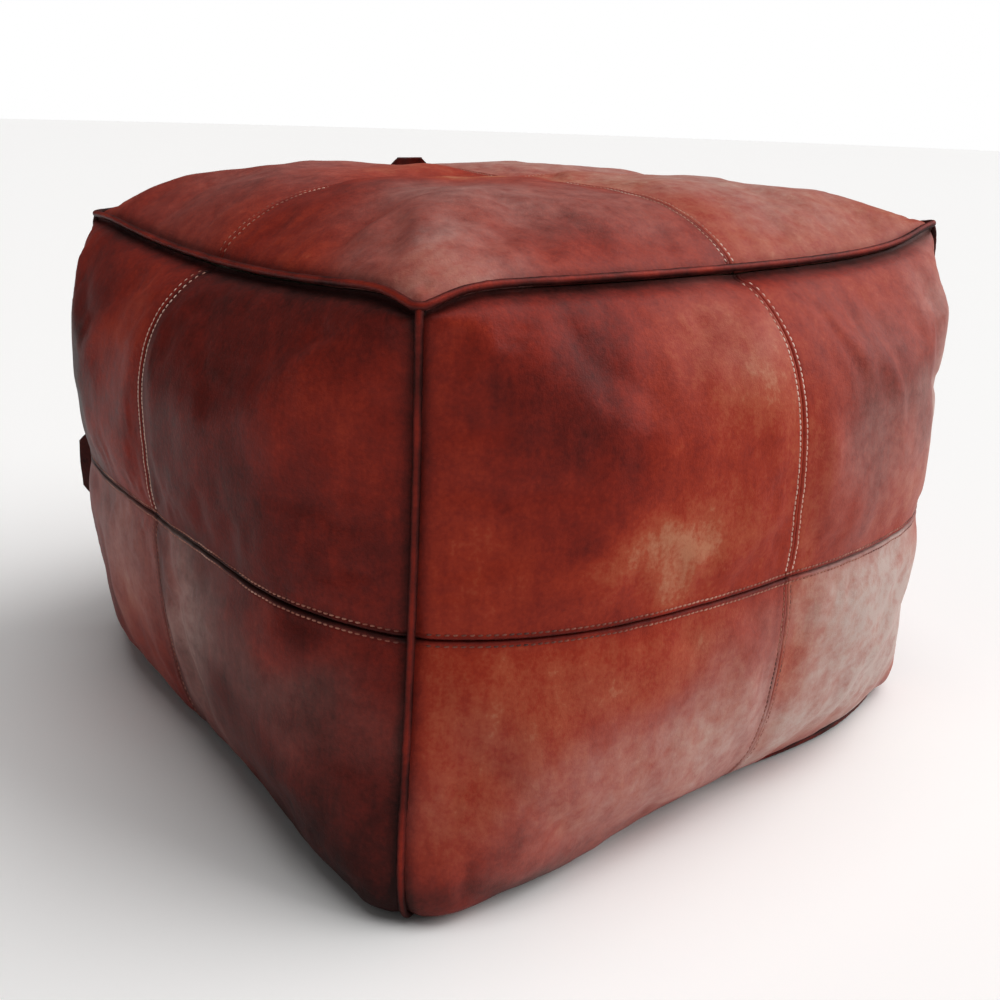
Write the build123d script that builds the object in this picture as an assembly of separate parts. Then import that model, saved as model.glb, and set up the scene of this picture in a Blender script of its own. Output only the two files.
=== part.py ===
from build123d import *
import os
from math import atan2, comb, degrees, sqrt

# A square stuffed leather pouf in millimetres, +Z up, standing on z = 0.
# The origin is the middle of the base. The front faces -Y.
# Its cover is cut leather panels with a piped seam (welt) along every edge of
# the block. Inside are a cotton liner and its filling. A zip runs along the
# middle of the base, in Y, with the outer side of the zip facing the floor.

# ---- block: the straight lines that the welts follow
side = 440.0  # left to right and front to back, at the corners
top_line = 334.0  # height of the top edge line
base_line = 12.0  # height of the base edge line
seam_height = 158.0  # horizontal seam round the sides

# ---- how far the stuffed faces stand out beyond the block
side_bulge = 50.0
crown = 36.0
roundness = 0.5  # 0 gives a parabola; more makes a flatter middle and steeper rims

# ---- leather cover
leather = 2.0
seam_gap = 0.2  # between neighbouring panels
welt_gap = 0.1  # between a panel and a welt's sleeve
flange_gap = 0.3  # between a panel and a welt's flange
base_flat = 380.0  # width of the base that lies on the floor

# ---- welts: a leather sleeve round a cord, with a sewn flange that runs inwards
welt_radius = 2.6
cord_radius = 1.5
cord_clearance = 0.1
welt_outset = 0.6  # welt centre beyond the edge line
flange_root = 0.3  # where the flange starts outside the cord's tunnel
flange_thickness = 2.4
flange_reach = 8.0  # how far the flange runs in from the edge line
flange_bend = 6.0  # bend left at the flange's inner end, round a corner
ring_clearance = 0.5  # between a corner welt and the ring welts

# ---- liner and filling
liner_edge_clearance = 1.0  # between a flange's end and the liner's edge
liner_clearance = 0.6
liner_cloth = 0.8
liner_sag = 8.0  # how far the liner's floor would hang below the base if it were free
filling_clearance = 0.3

# ---- recess of the base for the zip
lip_height = 8.0  # outer face of the leather lips above the floor
lip_slope = 18.0  # width of the sloping leather
zip_opening_length = 340.0

# ---- zip
tape_width = 16.0  # from the middle to the outer edge of the tape and the flat lip
tape_gap = 1.2  # from the middle to the tape's inner edge
tape_thickness = 0.6
tape_overlap = 8.0  # tape beyond each end of the opening
coil_gap = 0.45  # from the middle to a coil
coil_width = 2.4
coil_thickness = 1.6
coil_rounding = 0.7
stop_length = 3.0
stop_clearance = 0.4

# ---- slider and pull
slider_length = 11.0
slider_width = 9.8
slider_plate = 1.0
slider_rounding = 2.0
slider_play = 0.3
slider_side_clearance = 2.1  # between the slider and the leather lips
slider_post = 0.6
slider_post_length = 5.0
slider_rim = 1.3  # width of the raised rims of the outer plate
liner_over_slider = 0.8
bail_width = 2.2
bail_wire = 1.2
bail_length = 7.0
pull_pin = 0.7  # radius of the pull's cross-bar
pull_length = 27.0
pull_width = 7.2
pull_thickness = 1.3
pull_back = 0.9  # tag beyond its hinge line
pull_play = 0.3
pull_hole = 1.6
pull_tilt = 7.0  # degrees below level, where the pull lies at rest

# ---- topstitching, drawn as a thread along each row
stitch_offset = 3.2
thread_width = 0.9
thread_height = 0.5
thread_end = 3.0

# ---- doubled leather tabs sewn into the welts
tab_leather = 1.8
tab_fold_gap = 0.4
back_tab_width = 44.0
back_tab_height = 34.0
back_tab_rounding = 14.0
back_tab_place = 66.0  # to the right of the middle of the back
corner_tab_reach = 14.0
corner_tab_height = 36.0
corner_tab_rounding = 6.0
corner_tab_turn = 135.0  # degrees from +X to the way the tab points

# ---- worked-out places
half = side / 2
edge_margin = max(
    welt_radius - welt_outset + welt_gap,
    leather + flange_thickness / sqrt(2) + flange_gap,
)  # from an edge line to a panel's edge
panel_half = half - edge_margin
welt_turn = flange_reach + flange_bend
panel_turn = welt_turn - edge_margin - welt_outset
flange_start = cord_radius + cord_clearance + flange_root
liner_margin = flange_reach + liner_edge_clearance
side_middle = (top_line + base_line) / 2
side_half_height = (top_line - base_line) / 2 - edge_margin
liner_half = half - liner_margin
lip_inner = lip_height + leather
coil_low = lip_inner - coil_thickness
zip_opening_width = slider_width + 2 * slider_side_clearance
zip_end = zip_opening_length / 2
slider_front = zip_end - stop_length - 2 * stop_clearance
slider_outer = coil_low - slider_play  # inner side of the plate that faces the floor
slider_inner = lip_inner + tape_thickness + slider_play  # outer side of the other plate
slider_low = slider_outer - slider_plate
hinge_drop = sqrt(pull_back**2 + (pull_thickness / 2) ** 2) + pull_play
bail_height = hinge_drop + pull_pin + pull_play + bail_wire

FACES = {
    "front": Plane(origin=(0, -half, side_middle), x_dir=(1, 0, 0), z_dir=(0, -1, 0)),
    "right": Plane(origin=(half, 0, side_middle), x_dir=(0, 1, 0), z_dir=(1, 0, 0)),
    "back": Plane(origin=(0, half, side_middle), x_dir=(-1, 0, 0), z_dir=(0, 1, 0)),
    "left": Plane(origin=(-half, 0, side_middle), x_dir=(0, -1, 0), z_dir=(-1, 0, 0)),
}
CORNERS = {
    "front_left": (-1, -1),
    "front_right": (1, -1),
    "back_right": (1, 1),
    "back_left": (-1, 1),
}


def save(name, shape):
    """Write one node."""
    export_step(shape, f"parts/{name}.step")


def bulge_weights(low, high):
    """Bezier weights of 1 + (r - 1) t^2 - r t^4 between two places on -1 to 1."""
    width = high - low
    terms = {0: 1.0, 2: roundness - 1, 4: -roundness}
    powers = [
        sum(k * comb(n, p) * low ** (n - p) * width**p for n, k in terms.items() if n >= p)
        for p in range(5)
    ]
    return [sum(comb(i, p) / comb(4, p) * powers[p] for p in range(i + 1)) for i in range(5)]


def stuffed_face(half_x, half_y, height, x_range, y_range):
    """Part of a crowned face, with its rim in the plane z = 0."""
    x_span = [x / half_x for x in x_range]
    y_span = [y / half_y for y in y_range]
    across = bulge_weights(*x_span)
    along = bulge_weights(*y_span)
    points = [
        [
            (
                half_x * (x_span[0] + (x_span[1] - x_span[0]) * i / 4),
                half_y * (y_span[0] + (y_span[1] - y_span[0]) * j / 4),
                height * across[i] * along[j],
            )
            for j in range(5)
        ]
        for i in range(5)
    ]
    return Face.make_bezier_surface(points)


def leather_piece(half_x, half_y, height, x_range, y_range):
    """A cut panel of the crowned face, with the leather's thickness inwards."""
    face = stuffed_face(half_x, half_y, height, x_range, y_range)
    return Solid.extrude(face, Vector(0, 0, -leather))


def thread_row(half_x, half_y, height, x_range, y_range):
    """A flat thread that lies on the crowned face."""
    face = stuffed_face(half_x, half_y, height, x_range, y_range)
    return Solid.extrude(face, Vector(0, 0, thread_height))


def rows_beside(middle):
    """The two thread rows beside a seam, as ranges across it."""
    places = [middle - stitch_offset, middle + stitch_offset]
    return [(place - thread_width / 2, place + thread_width / 2) for place in places]


# ---- cover: top
def make_top():
    lift = Pos(0, 0, top_line)
    shape = (panel_half, panel_half, crown)
    for name, (x_way, y_way) in CORNERS.items():
        x_range = sorted((x_way * seam_gap / 2, x_way * panel_half))
        y_range = sorted((y_way * seam_gap / 2, y_way * panel_half))
        piece = leather_piece(*shape, x_range, y_range)
        corner = piece.edges().filter_by(Axis.Z).sort_by_distance((x_way * half, y_way * half, 0))[0]
        save(f"top_panel_{name}", lift * fillet(corner, panel_turn))
    reach = panel_half - thread_end
    start = stitch_offset + thread_end
    rows = []
    for row in rows_beside(0):
        rows.append(thread_row(*shape, (-reach, reach), row))
        rows.append(thread_row(*shape, row, (start, reach)))
        rows.append(thread_row(*shape, row, (-reach, -start)))
    save("topstitching_top", Compound([lift * row for row in rows]))


# ---- cover: the four sides, four panels each
def make_sides():
    seam = seam_height - side_middle
    heights = {
        "upper": (seam + seam_gap / 2, side_half_height),
        "lower": (-side_half_height, seam - seam_gap / 2),
    }
    widths = {"left": (-panel_half, -seam_gap / 2), "right": (seam_gap / 2, panel_half)}
    for face_name, plane in FACES.items():
        shape = (panel_half, side_half_height, side_bulge)
        for level, y_range in heights.items():
            for hand, x_range in widths.items():
                piece = leather_piece(*shape, x_range, y_range)
                save(f"{face_name}_panel_{level}_{hand}", plane.location * piece)
        reach = panel_half - thread_end
        rise = side_half_height - thread_end
        rows = [thread_row(*shape, (-reach, reach), row) for row in rows_beside(seam)]
        for row in rows_beside(0):
            rows.append(thread_row(*shape, row, (seam + stitch_offset + thread_end, rise)))
            rows.append(thread_row(*shape, row, (-rise, seam - stitch_offset - thread_end)))
        save(f"topstitching_{face_name}", Compound([plane.location * row for row in rows]))


# ---- cover: base, two panels with the zip between them
def rim_region(lift):
    """Everything above the base's outer face, as seen along Y, without the recess."""
    rise = base_line / (panel_half - base_flat / 2)
    far_height = lift + rise * (half - base_flat / 2)
    outline = Polyline(
        (-half, far_height),
        (-base_flat / 2, lift),
        (base_flat / 2, lift),
        (half, far_height),
        (half, top_line),
        (-half, top_line),
        close=True,
    )
    return extrude(Plane.XZ * make_face(outline), amount=half, both=True)


def recess(width, height, slope, low):
    """A ridge along Y that a recess is cut with: flat on top and sloping down both ways."""
    outline = Polyline(
        (-width - slope, low), (-width, height), (width, height), (width + slope, low), close=True
    )
    return extrude(Plane.XZ * make_face(outline), amount=half, both=True)


def base_region(lift):
    """Everything above the base's outer face, raised by lift."""
    ridge = Pos(0, 0, lift) * recess(tape_width, lip_height, lip_slope, 0)
    return (rim_region(lift) & (Rot(0, 0, 90) * rim_region(lift))) - ridge


def make_base():
    outline = extrude(RectangleRounded(2 * panel_half, 2 * panel_half, panel_turn), amount=top_line)
    sheet = (base_region(0) - base_region(leather)) & outline
    opening = Box(zip_opening_width, zip_opening_length, side)
    for hand, way in (("left", -1), ("right", 1)):
        keep = Pos(way * (half + seam_gap / 2), 0, 0) * Box(side, side, side)
        save(f"base_panel_{hand}", (sheet & keep) - opening)
    rows = []
    for way in (-1, 1):
        place = way * (zip_opening_width / 2 + stitch_offset)
        row = Box(thread_width, zip_opening_length, thread_height)
        rows.append(Pos(place, 0, lip_height - thread_height / 2) * row)
    save("topstitching_base", Compound(rows))


# ---- welts
def welt_section(with_flange=True):
    """A sleeve about the welt's centre, and its flange along -X."""
    sleeve = Circle(welt_radius)
    if with_flange:
        length = sqrt(2) * (flange_reach + welt_outset) - flange_start
        sleeve += Pos(-flange_start - length / 2, 0) * Rectangle(length, flange_thickness)
    return sleeve - Circle(cord_radius + cord_clearance)


def ring_sweep(section, height, flange_down):
    """Carry a section round a ring. The flange runs inwards at 45 degrees, down or up."""
    size = side + 2 * welt_outset
    path = Pos(0, 0, height) * RectangleRounded(size, size, welt_turn).wire()
    start = path.position_at(0)
    along = path.tangent_at(0)
    outward = along.cross(Vector(0, 0, 1))
    if outward.dot(start) < 0:
        outward = -outward
    tilt = Vector(0, 0, 1 if flange_down else -1)
    plane = Plane(origin=start, x_dir=(outward + tilt).normalized(), z_dir=along)
    return sweep(plane * section, path=path)


def make_ring_welts():
    rings = (("top", top_line + welt_outset, True), ("base", base_line - welt_outset, False))
    for name, height, flange_down in rings:
        save(f"{name}_welt", ring_sweep(welt_section(), height, flange_down))
        save(f"{name}_welt_cord", ring_sweep(Circle(cord_radius), height, flange_down))


def upright(section, low, high):
    """A straight piece that stands on the section."""
    return Pos(0, 0, low) * extrude(section, amount=high - low)


def make_corner_welts():
    sleeve_inset = welt_radius - welt_outset + ring_clearance
    low = base_line + sleeve_inset
    high = top_line - sleeve_inset
    flange_inset = flange_reach + flange_thickness / sqrt(2) + ring_clearance
    sleeve = upright(welt_section(with_flange=False), low, high)
    sleeve += upright(welt_section(), base_line + flange_inset, top_line - flange_inset)
    core = upright(Circle(cord_radius), low, high)
    place = half + welt_outset
    for name, (x_way, y_way) in CORNERS.items():
        turn = degrees(atan2(y_way, x_way))
        spot = Pos(x_way * place, y_way * place, 0) * Rot(0, 0, turn)
        save(f"corner_welt_{name}", spot * sleeve)
        save(f"corner_welt_cord_{name}", spot * core)


# ---- liner and filling
def stuffed_block(inset):
    """A closed block with six crowned faces, flat below, inset from the liner's outer face."""
    size = liner_half - inset
    low = base_line + liner_margin + inset
    high = top_line - liner_margin - inset
    flat = leather + liner_clearance + inset
    half_height = (high - low) / 2
    grow = liner_margin - leather - liner_clearance
    wall = stuffed_face(
        size, half_height, side_bulge + grow, (-size, size), (-half_height, half_height)
    )
    lid = stuffed_face(size, size, crown + grow, (-size, size), (-size, size))
    sag = stuffed_face(size, size, low - flat + liner_sag, (-size, size), (-size, size))
    faces = [Pos(0, 0, high) * lid, Pos(0, 0, low) * Rot(180, 0, 0) * sag]
    for plane in FACES.values():
        origin = plane.z_dir * size + Vector(0, 0, (low + high) / 2)
        faces.append(Plane(origin=origin, x_dir=plane.x_dir, z_dir=plane.z_dir).location * wall)
    block = Solid(Shell(faces)) - Pos(0, 0, flat - side) * Box(2 * side, 2 * side, 2 * side)
    ridge_width = tape_width + liner_edge_clearance + inset
    ridge_height = slider_inner + slider_plate + liner_over_slider + inset
    return block - recess(ridge_width, ridge_height, lip_slope + liner_edge_clearance, flat)


def make_inside():
    save("liner_bag", stuffed_block(0) - stuffed_block(liner_cloth))
    save("filling", stuffed_block(liner_cloth + filling_clearance))


# ---- zip
def make_zip():
    tape_length = zip_opening_length + 2 * tape_overlap
    coil_length = zip_opening_length - 2 * (stop_length + stop_clearance)
    coil_place = coil_gap + coil_width / 2
    coil_middle = coil_low + coil_thickness / 2
    stop_place = zip_end - stop_length / 2
    tape = Box(tape_width - tape_gap, tape_length, tape_thickness)
    coil = Box(coil_width, coil_length, coil_thickness)
    coil = fillet(coil.edges().filter_by(Axis.Y), coil_rounding)
    stop = Box(coil_width, stop_length, coil_thickness)
    top_stops = []
    for hand, way in (("left", -1), ("right", 1)):
        tape_place = way * (tape_width + tape_gap) / 2
        save(f"zip_tape_{hand}", Pos(tape_place, 0, lip_inner + tape_thickness / 2) * tape)
        save(f"zip_coil_{hand}", Pos(way * coil_place, 0, coil_middle) * coil)
        top_stops.append(Pos(way * coil_place, stop_place, coil_middle) * stop)
    save("zip_top_stops", Compound(top_stops))
    bottom_stop = Box(2 * (coil_gap + coil_width), stop_length, coil_thickness)
    save("zip_bottom_stop", Pos(0, -stop_place, coil_middle) * bottom_stop)


def make_slider():
    middle = slider_front - slider_length / 2
    plate = Box(slider_width, slider_length, slider_plate)
    plate = fillet(plate.edges().filter_by(Axis.Z), slider_rounding)
    body = Pos(0, middle, slider_low + slider_plate / 2) * plate
    body += Pos(0, middle, slider_inner + slider_plate / 2) * plate
    rim_height = lip_inner - slider_play - slider_outer
    rim = Box(slider_rim, slider_length - 2 * slider_rounding, rim_height)
    for way in (-1, 1):
        rim_place = way * (slider_width - slider_rim) / 2
        body += Pos(rim_place, middle, slider_outer + rim_height / 2) * rim
    post_height = slider_inner - slider_outer
    post = Box(slider_post, slider_post_length, post_height)
    body += Pos(0, middle, slider_outer + post_height / 2) * post
    arch = Pos(0, middle, slider_low - bail_height / 2) * Box(bail_width, bail_length, bail_height)
    arch = fillet(arch.edges().filter_by(Axis.X).group_by(Axis.Z)[0], bail_wire)
    eye_height = bail_height - bail_wire
    eye = Box(2 * bail_width, bail_length - 2 * bail_wire, eye_height)
    save("zip_slider", body + (arch - Pos(0, middle, slider_low - eye_height / 2) * eye))


def make_pull():
    """A flat tag with a slot round the bail and a cross-bar through it, pointing along -Y."""
    slot_half = bail_width / 2 + pull_play
    slot_reach = sqrt((bail_length / 2) ** 2 + (bail_height - hinge_drop) ** 2) + pull_play
    tag = Box(pull_width, pull_length + pull_back, pull_thickness)
    tag = fillet(tag.edges().filter_by(Axis.Z), pull_back)
    tag = Pos(0, (pull_back - pull_length) / 2, 0) * tag
    slot = Box(2 * slot_half, slot_reach + 2 * pull_back, 2 * pull_thickness)
    slot = Pos(0, pull_back - slot_reach / 2, 0) * slot
    end_hole = Pos(0, 2.5 * pull_hole - pull_length, 0) * Cylinder(pull_hole, 2 * pull_thickness)
    bar = Rot(0, 90, 0) * Cylinder(pull_pin, slot_half + pull_width / 2)
    pull = tag - slot - end_hole + bar
    hinge = Pos(0, slider_front - slider_length / 2, slider_low - hinge_drop)
    save("zip_pull", hinge * Rot(pull_tilt, 0, 0) * pull)


# ---- tabs
def folded_tab(width, height, rounding):
    """A doubled leather tab in the XZ plane, folded at the top, with its sewn end at z = 0."""
    thickness = 2 * tab_leather + tab_fold_gap
    tab = Pos(0, 0, height / 2) * Box(width, thickness, height)
    tab = fillet(tab.edges().filter_by(Axis.Y).group_by(Axis.Z)[-1], rounding)
    gap = Box(2 * width, tab_fold_gap, 2 * (height - thickness / 2))
    return tab - gap


def make_tabs():
    rise = top_line + welt_outset + welt_radius
    back = folded_tab(back_tab_width, back_tab_height, back_tab_rounding)
    save("back_tab", Pos(back_tab_place, half + welt_outset, rise) * back)
    corner = folded_tab(corner_tab_height, corner_tab_reach, corner_tab_rounding)
    place = half + welt_outset
    spot = Pos(-place, place, seam_height - corner_tab_height / 2) * Rot(0, 0, corner_tab_turn)
    save("corner_tab", spot * Pos(welt_radius, 0, 0) * Rot(0, 90, 0) * corner)


os.makedirs("parts", exist_ok=True)
make_top()
make_sides()
make_base()
make_ring_welts()
make_corner_welts()
make_inside()
make_zip()
make_slider()
make_pull()
make_tabs()
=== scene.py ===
import bpy
import numpy as np
from math import cos, pi, radians, sin, sqrt
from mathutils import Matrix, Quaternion, Vector


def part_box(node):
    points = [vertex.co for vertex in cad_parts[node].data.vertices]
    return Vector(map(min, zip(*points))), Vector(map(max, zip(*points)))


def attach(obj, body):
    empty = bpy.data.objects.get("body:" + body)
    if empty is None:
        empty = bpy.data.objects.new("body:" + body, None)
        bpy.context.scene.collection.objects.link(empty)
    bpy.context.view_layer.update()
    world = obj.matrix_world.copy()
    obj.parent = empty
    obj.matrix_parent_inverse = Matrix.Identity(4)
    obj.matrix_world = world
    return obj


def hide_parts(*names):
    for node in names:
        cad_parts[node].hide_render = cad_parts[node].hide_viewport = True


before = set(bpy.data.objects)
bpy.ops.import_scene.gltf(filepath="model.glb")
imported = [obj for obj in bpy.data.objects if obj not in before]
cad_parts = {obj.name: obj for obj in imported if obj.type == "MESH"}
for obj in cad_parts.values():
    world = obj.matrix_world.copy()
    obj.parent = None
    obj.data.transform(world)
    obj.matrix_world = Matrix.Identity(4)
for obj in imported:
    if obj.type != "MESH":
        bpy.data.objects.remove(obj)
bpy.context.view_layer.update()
bpy.ops.object.select_all(action="DESELECT")
mm = 0.001

# the block that the welts run along, read off the frame
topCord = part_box("top_welt_cord")
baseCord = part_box("base_welt_cord")
pouf = {
    "weltOutset": 0.6 * mm,  # welt centre beyond the edge line
    "leather": 2.0 * mm,
    "fill": 0.85,  # how tightly it is stuffed
    "splay": 6 * mm,  # how far the foot stands out beyond the top
    "press": 8.3 * mm,  # how far the base edge is pressed down
    "roll": 8.0 * mm,  # how much lower the leather lies just above that edge
    "rollHeight": 10 * mm,
    "fullRoll": 16 * mm,  # an edge that is drawn under this far rolls fully
    "footReach": 100 * mm,  # how far round a corner its foot is moved
    "drawReach": 50 * mm,  # and its top drawn in
    "liftReach": 60 * mm,  # how far above and below the level seam its rise is felt
    "boxy": 0.55,  # 0 is a pillow, 1 is full right into the corners
    "seam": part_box("front_panel_lower_left")[1][2],
}
cordRadius = (topCord[1][2] - topCord[0][2]) / 2
half = topCord[1][0] - cordRadius - pouf["weltOutset"]
topLine = topCord[1][2] - cordRadius - pouf["weltOutset"]
baseLine = baseCord[0][2] + cordRadius + pouf["weltOutset"]
coverForm = {
    "half": half,
    "low": baseLine,
    "high": topLine,
    "sideBulge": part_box("right_panel_upper_left")[1][0] - half,
    "crown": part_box("top_panel_front_left")[1][2] - topLine,
}
seam = pouf["seam"]

# face: (direction across, direction outwards)
sideFaces = {
    "front": ((1, 0, 0), (0, -1, 0)),
    "right": ((0, 1, 0), (1, 0, 0)),
    "back": ((-1, 0, 0), (0, 1, 0)),
    "left": ((0, -1, 0), (-1, 0, 0)),
}
# each edge of the block: bow and sag of the top edge, bow of the base edge, how far it is drawn under,
# and the share of that which is missing at its right end, where the welt shows
edges = {
    "front": {"bow": 2.0 * mm, "sag": 4.0 * mm, "footBow": 27 * mm, "under": 15 * mm, "bare": 0.85},
    "right": {"bow": 4.5 * mm, "sag": 5.0 * mm, "footBow": 17 * mm, "under": 11 * mm, "bare": 0.0},
    "back": {"bow": 4.5 * mm, "sag": 7.0 * mm, "footBow": 18 * mm, "under": 12 * mm, "bare": 0.0},
    "left": {"bow": 4.5 * mm, "sag": 14.0 * mm, "footBow": 25 * mm, "under": 22 * mm, "bare": 0.0},
}
# each stuffed face: share of the full bulge, fullness near its corners, lean to the top,
# and rise of its level seam
swell = {
    "front": {"share": 0.96, "full": 0.50, "lean": 0.32, "lift": 0.0},
    "right": {"share": 0.86, "full": 0.60, "lean": 0.15, "lift": 3 * mm},
    "back": {"share": 0.86, "full": 0.65, "lean": 0.18, "lift": 2 * mm},
    "left": {"share": 0.74, "full": 0.80, "lean": 0.52, "lift": 7 * mm},
}
topFull, uprightFull, crownShare = 1.2, 0.8, 0.93
# each corner: dip of the top welt and how wide it is, how far it is drawn in, and how far its foot stands out
corners = {
    (-1, -1): {"dip": 10 * mm, "width": 21 * mm, "draw": 0.0, "foot": 28 * mm},
    (1, -1): {"dip": -12 * mm, "width": 66 * mm, "draw": 9 * mm, "foot": -6 * mm},
    (1, 1): {"dip": 5 * mm, "width": 30 * mm, "draw": 3 * mm, "foot": 9 * mm},
    (-1, 1): {"dip": 7 * mm, "width": 30 * mm, "draw": 1 * mm, "foot": -7 * mm},
}


def softNoise(points, size, seed, count=22):
    # smooth noise from -1 to 1: a seeded sum of slow waves about that size
    rng = np.random.RandomState(seed)
    total = np.zeros(len(points))
    for _ in range(count):
        direction = rng.normal(size=3)
        direction *= rng.uniform(0.6, 1.5) * 2 * pi / size / np.linalg.norm(direction)
        total += np.sin(points @ direction + rng.uniform(0, 2 * pi))
    return total / sqrt(count)


def bell(away, width):
    # 1 on the line, fading out over about that width
    return np.exp(-((away / width) ** 2))


def smoothStep(value):
    value = np.clip(value, 0, 1)
    return value * value * (3 - 2 * value)


def crown(t, full):
    # 1 in the middle of a face, 0 at its edges
    return np.minimum((1 - t * t) * (1 + full * t * t), 1.0)


def meet(a, b, power=2.5):
    # where two swellings meet at a corner: 0 at either edge, 1 in the middle, full up to the corner
    a, b = np.clip(a, 1e-4, 1), np.clip(b, 1e-4, 1)
    return (2 / (a**-power + b**-power)) ** (1 / power)


def dome(wide, tall):
    return (1 - pouf["boxy"]) * wide * tall + pouf["boxy"] * meet(wide, tall)


def settle(points):
    # how a stuffed cover stands: edges bow and sag, the foot spreads and tucks under, corners dip or stand up
    x, y, z = points.T.copy()
    above = np.clip(z - baseLine, 0, None)
    rise = np.clip(above / (topLine - baseLine), 0, 1)
    moved = np.column_stack((x, y, z))
    drop = np.zeros(len(points))
    rolled = np.zeros(len(points))
    for face, edge in edges.items():
        axis = 1 if face in ("front", "back") else 0
        way = 1 if face in ("right", "back") else -1
        toward = np.clip(way * moved[:, axis] / half, 0, 1.3) if axis else np.clip(way * x / half, 0, 1.3)
        across = (x if axis else y) / half
        span = np.clip(1 - across**4, 0, 1)
        moved[:, axis] += way * toward * span * (edge["bow"] * rise + edge["footBow"] * (1 - rise))
        drop += edge["sag"] * np.clip(toward, 0, 1) ** 6 * np.clip(1 - across**2, 0, 1)
        under = edge["under"] * (1 - edge["bare"] * smoothStep(x / half + 0.4))
        moved[:, axis] -= way * toward * under * np.exp(-above / pouf["rollHeight"])
        rolled += np.clip(toward, 0, 1) ** 8 * under / pouf["fullRoll"]
    foot = pouf["splay"] * (1 - rise) ** 3
    for (wayX, wayY), corner in corners.items():
        away = np.hypot(x - wayX * half, y - wayY * half)
        drop += corner["dip"] * np.exp(-((away / corner["width"]) ** 1.5))
        foot = foot + corner["foot"] * (1 - rise) ** 2 * bell(away, pouf["footReach"])
        foot = foot - corner["draw"] * rise**2 * bell(away, pouf["drawReach"])
    moved[:, 0] += x / half * foot
    moved[:, 1] += y / half * foot
    climb = above / pouf["rollHeight"]
    moved[:, 2] -= drop * rise**3 + pouf["press"] * np.exp(-climb / 4)
    moved[:, 2] -= pouf["roll"] * np.clip(rolled, 0, 1) * climb * np.exp(1 - climb)
    return moved


def formPoint(form, face, across, up):
    # a place on a stuffed form: across and up are in metres on the flat face
    size = form["half"]
    if face in ("top", "base"):
        height = dome(crown(across / size, topFull), crown(up / size, topFull))
        if face == "top":
            flat = np.column_stack((across, up, form["high"] + crownShare * form["crown"] * height))
        else:
            flat = np.column_stack((-across, up, form["low"] - form["sag"] * height))
        return settle(flat)
    side, out = (np.array(v, float) for v in sideFaces[face])
    look = swell[face]
    level = (2 * up - form["low"] - form["high"]) / (form["high"] - form["low"])
    height = look["share"] * dome(crown(across / size, look["full"]), crown(level, uprightFull))
    stand = size + form["sideBulge"] * height * (1 + look["lean"] * level)
    flat = across[:, None] * side + stand[:, None] * out
    # the level seam rides up a little where the filling is packed
    flat[:, 2] = up + look["lift"] * crown(across / size, 0) * bell(up - pouf["seam"], pouf["liftReach"])
    return settle(flat)


def formFrame(form, face, across, up):
    # place, outward normal and the two directions of the surface
    step = 0.4 * mm
    alongA = formPoint(form, face, across + step, up) - formPoint(form, face, across - step, up)
    alongB = formPoint(form, face, across, up + step) - formPoint(form, face, across, up - step)
    alongA /= np.linalg.norm(alongA, axis=1)[:, None]
    alongB /= np.linalg.norm(alongB, axis=1)[:, None]
    normal = np.cross(alongA, alongB)
    normal /= np.linalg.norm(normal, axis=1)[:, None]
    return formPoint(form, face, across, up), normal, alongA, alongB


# leather surface: seams, gathers and creases on top of the stuffed form
seamLook = {
    "stitchOffset": 3.0 * mm,  # from the seam to a stitch row
    # level seams gape between their rows, the others lie nearly flat
    "level": {"turn": 2.1 * mm, "groove": 2.4 * mm, "pullIn": 1.8 * mm},
    "flat": {"turn": 0.9 * mm, "groove": 0.7 * mm, "pullIn": 1.0 * mm},
    "pullWidth": 13 * mm,  # how far from a seam the face is drawn in
    # seam allowance that lies under the leather: height, distance from the seam, width
    "ridge": (0.35 * mm, 1.7 * mm, 1.0 * mm),
    "row": (0.40 * mm, 0.6 * mm),  # depth and width of the groove that a stitch row pulls
    # small puckers that run away from a line: depth, spacing, reach, where they start, how drawn out
    "atSeam": (0.22 * mm, 13 * mm, 11 * mm, 3 * mm, 0.18),
    "atWelt": (0.28 * mm, 19 * mm, 17 * mm, 5 * mm, 0.20),
    # how far a panel turns in beside each welt, over what width
    "under": (4.0 * mm, 6.0 * mm),
    "rim": (2.8 * mm, 5.0 * mm),
    "corner": (2.2 * mm, 4.5 * mm),
    "foot": (1.0 * mm, 5.0 * mm),
    "weltReturn": (0.35, 1.3 * mm),  # share of that turn lost again where it meets the welt, over what width
    # the leather lies calmer near a line: how much, how far
    "seamCalm": (0.75, 12 * mm),
    "weltCalm": (1.0, 14 * mm),
    "lumps": ((1.5 * mm, 110 * mm), (0.35 * mm, 34 * mm)),  # unevenness of the filling: height and size
    # stuffed corners bulge on both sides of the foot of their welt
    "cheek": {"out": 3.2 * mm, "away": 18 * mm, "width": 14 * mm, "up": 14 * mm, "height": 13 * mm},
}
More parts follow.
